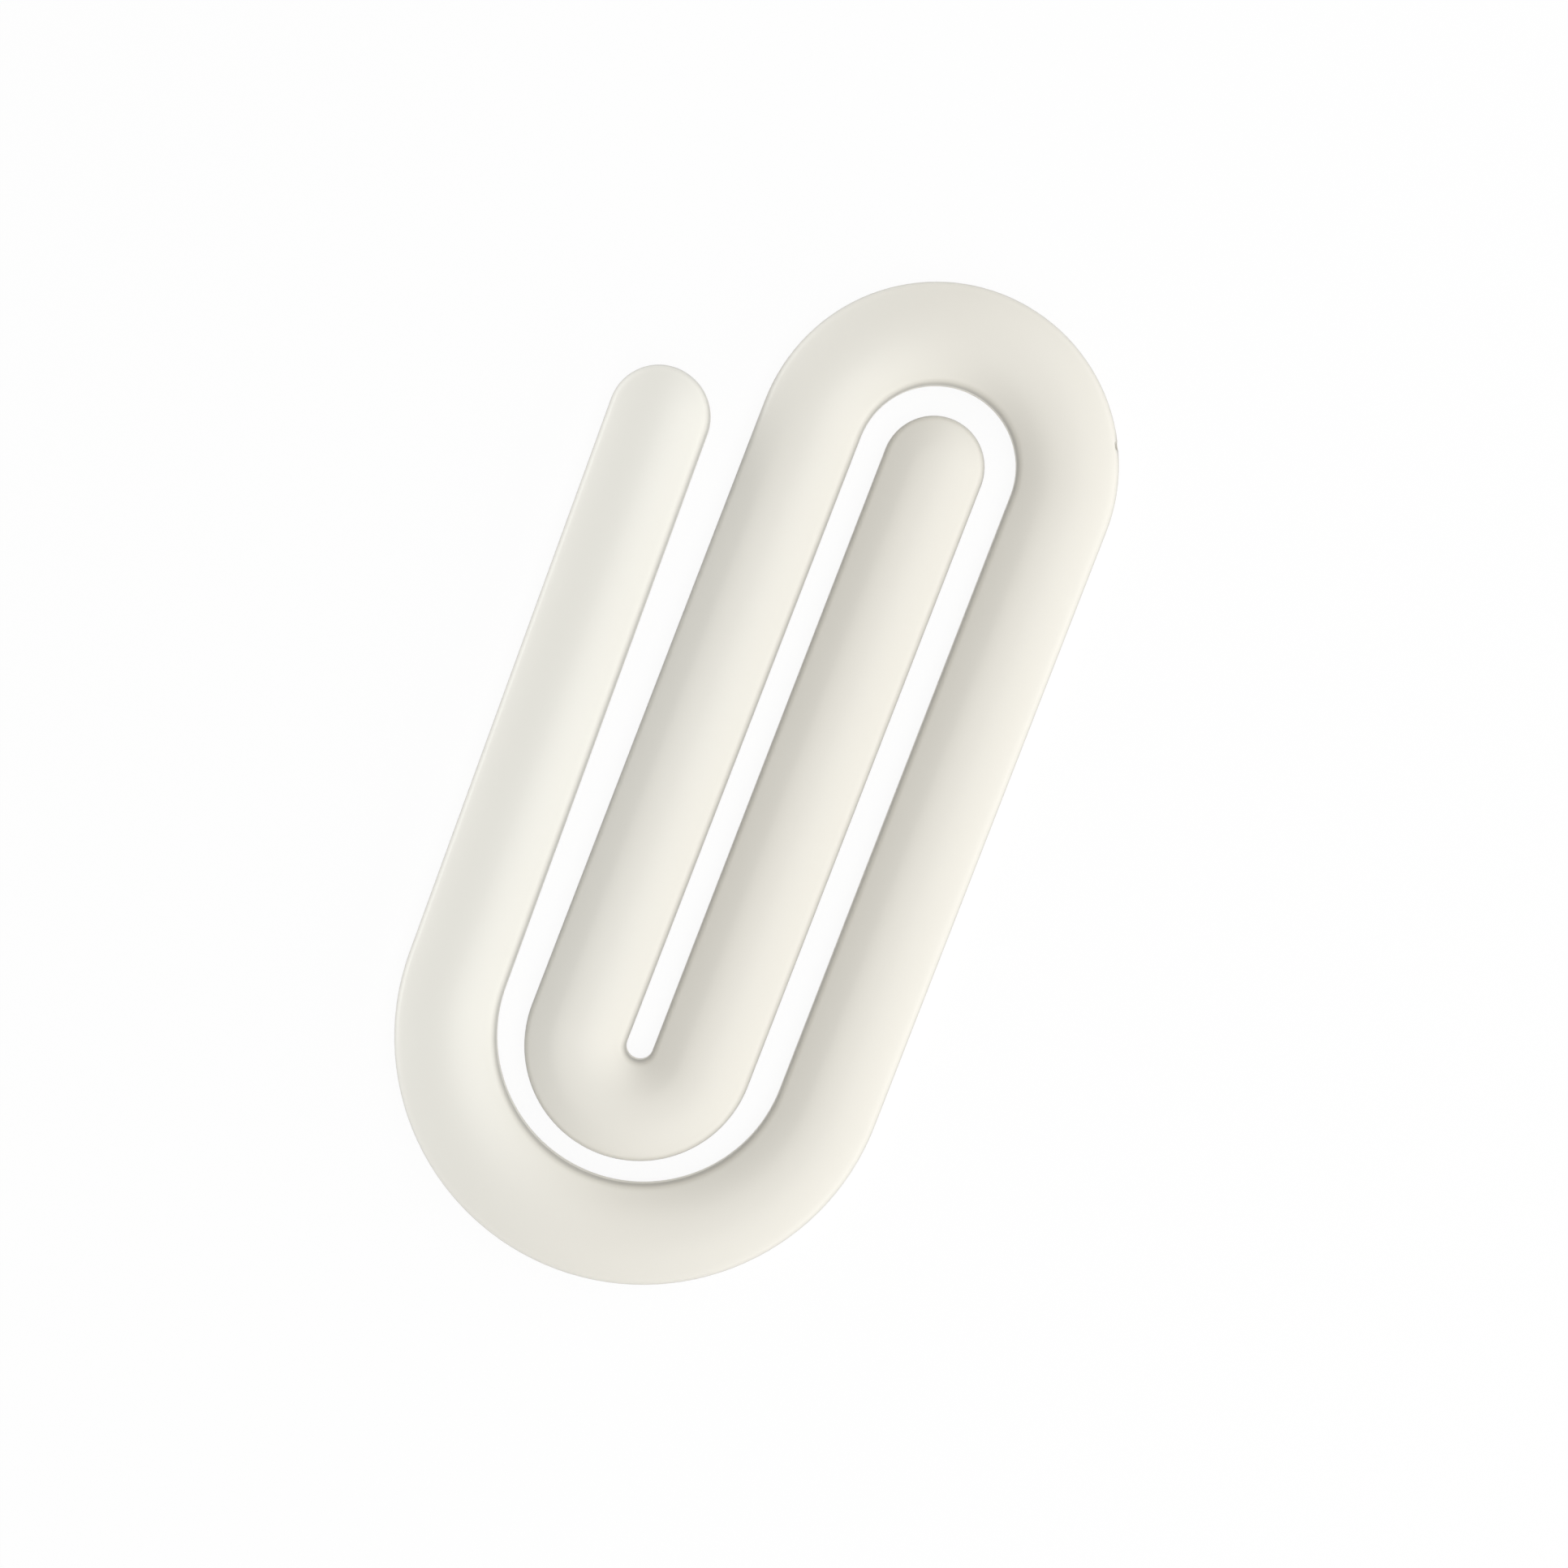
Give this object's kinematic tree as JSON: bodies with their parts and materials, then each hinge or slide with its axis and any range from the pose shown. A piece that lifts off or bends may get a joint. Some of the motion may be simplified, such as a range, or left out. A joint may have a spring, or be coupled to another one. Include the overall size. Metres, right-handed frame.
{
  "type": "paper clip",
  "caption": "Large moulded plastic paper clip: a flat-backed, crowned strip bent into nested loops whose outer leg, inner loop and tongue flex to grip sheets.",
  "frame": {"origin": "centre of the clip's outline, on the surface that its flat back rests on", "axes": "+X across the legs from the outer leg to the long leg, +Y along the legs from the heel bend to the head bend, +Z out of the crowned face"},
  "size_m": [0.0476, 0.1, 0.0036],
  "materials": {
    "clip_plastic": "satin, milky off-white"
  },
  "bodies": {
    "clip_frame": {"heel_bend": "clip_plastic", "long_leg": "clip_plastic", "head_bend": "clip_plastic"},
    "outer_arm": {"outer_leg": "clip_plastic"},
    "inner_arm": {"inner_leg": "clip_plastic", "toe_bend": "clip_plastic"},
    "tongue_arm": {"tongue": "clip_plastic"}
  },
  "joints": [
    {"name": "outer_leg_flex", "type": "hinge", "parent": "clip_frame", "child": "outer_arm", "pos_m": [-0.01806, -0.02462, 0.0018], "axis": [0.9998, 0.0175, 0], "range_deg": [0, 15], "stiffness_Nm_per_rad": 1.5},
    {"name": "inner_loop_flex", "type": "hinge", "parent": "clip_frame", "child": "inner_arm", "pos_m": [-0.00557, 0.03755, 0.0018], "axis": [-1, 0, 0], "range_deg": [0, 15], "stiffness_Nm_per_rad": 1.25},
    {"name": "tongue_flex", "type": "hinge", "parent": "inner_arm", "child": "tongue_arm", "pos_m": [0.00653, -0.02515, 0.0018], "axis": [1, 0, 0], "range_deg": [0, 15], "stiffness_Nm_per_rad": 1.4}
  ]
}
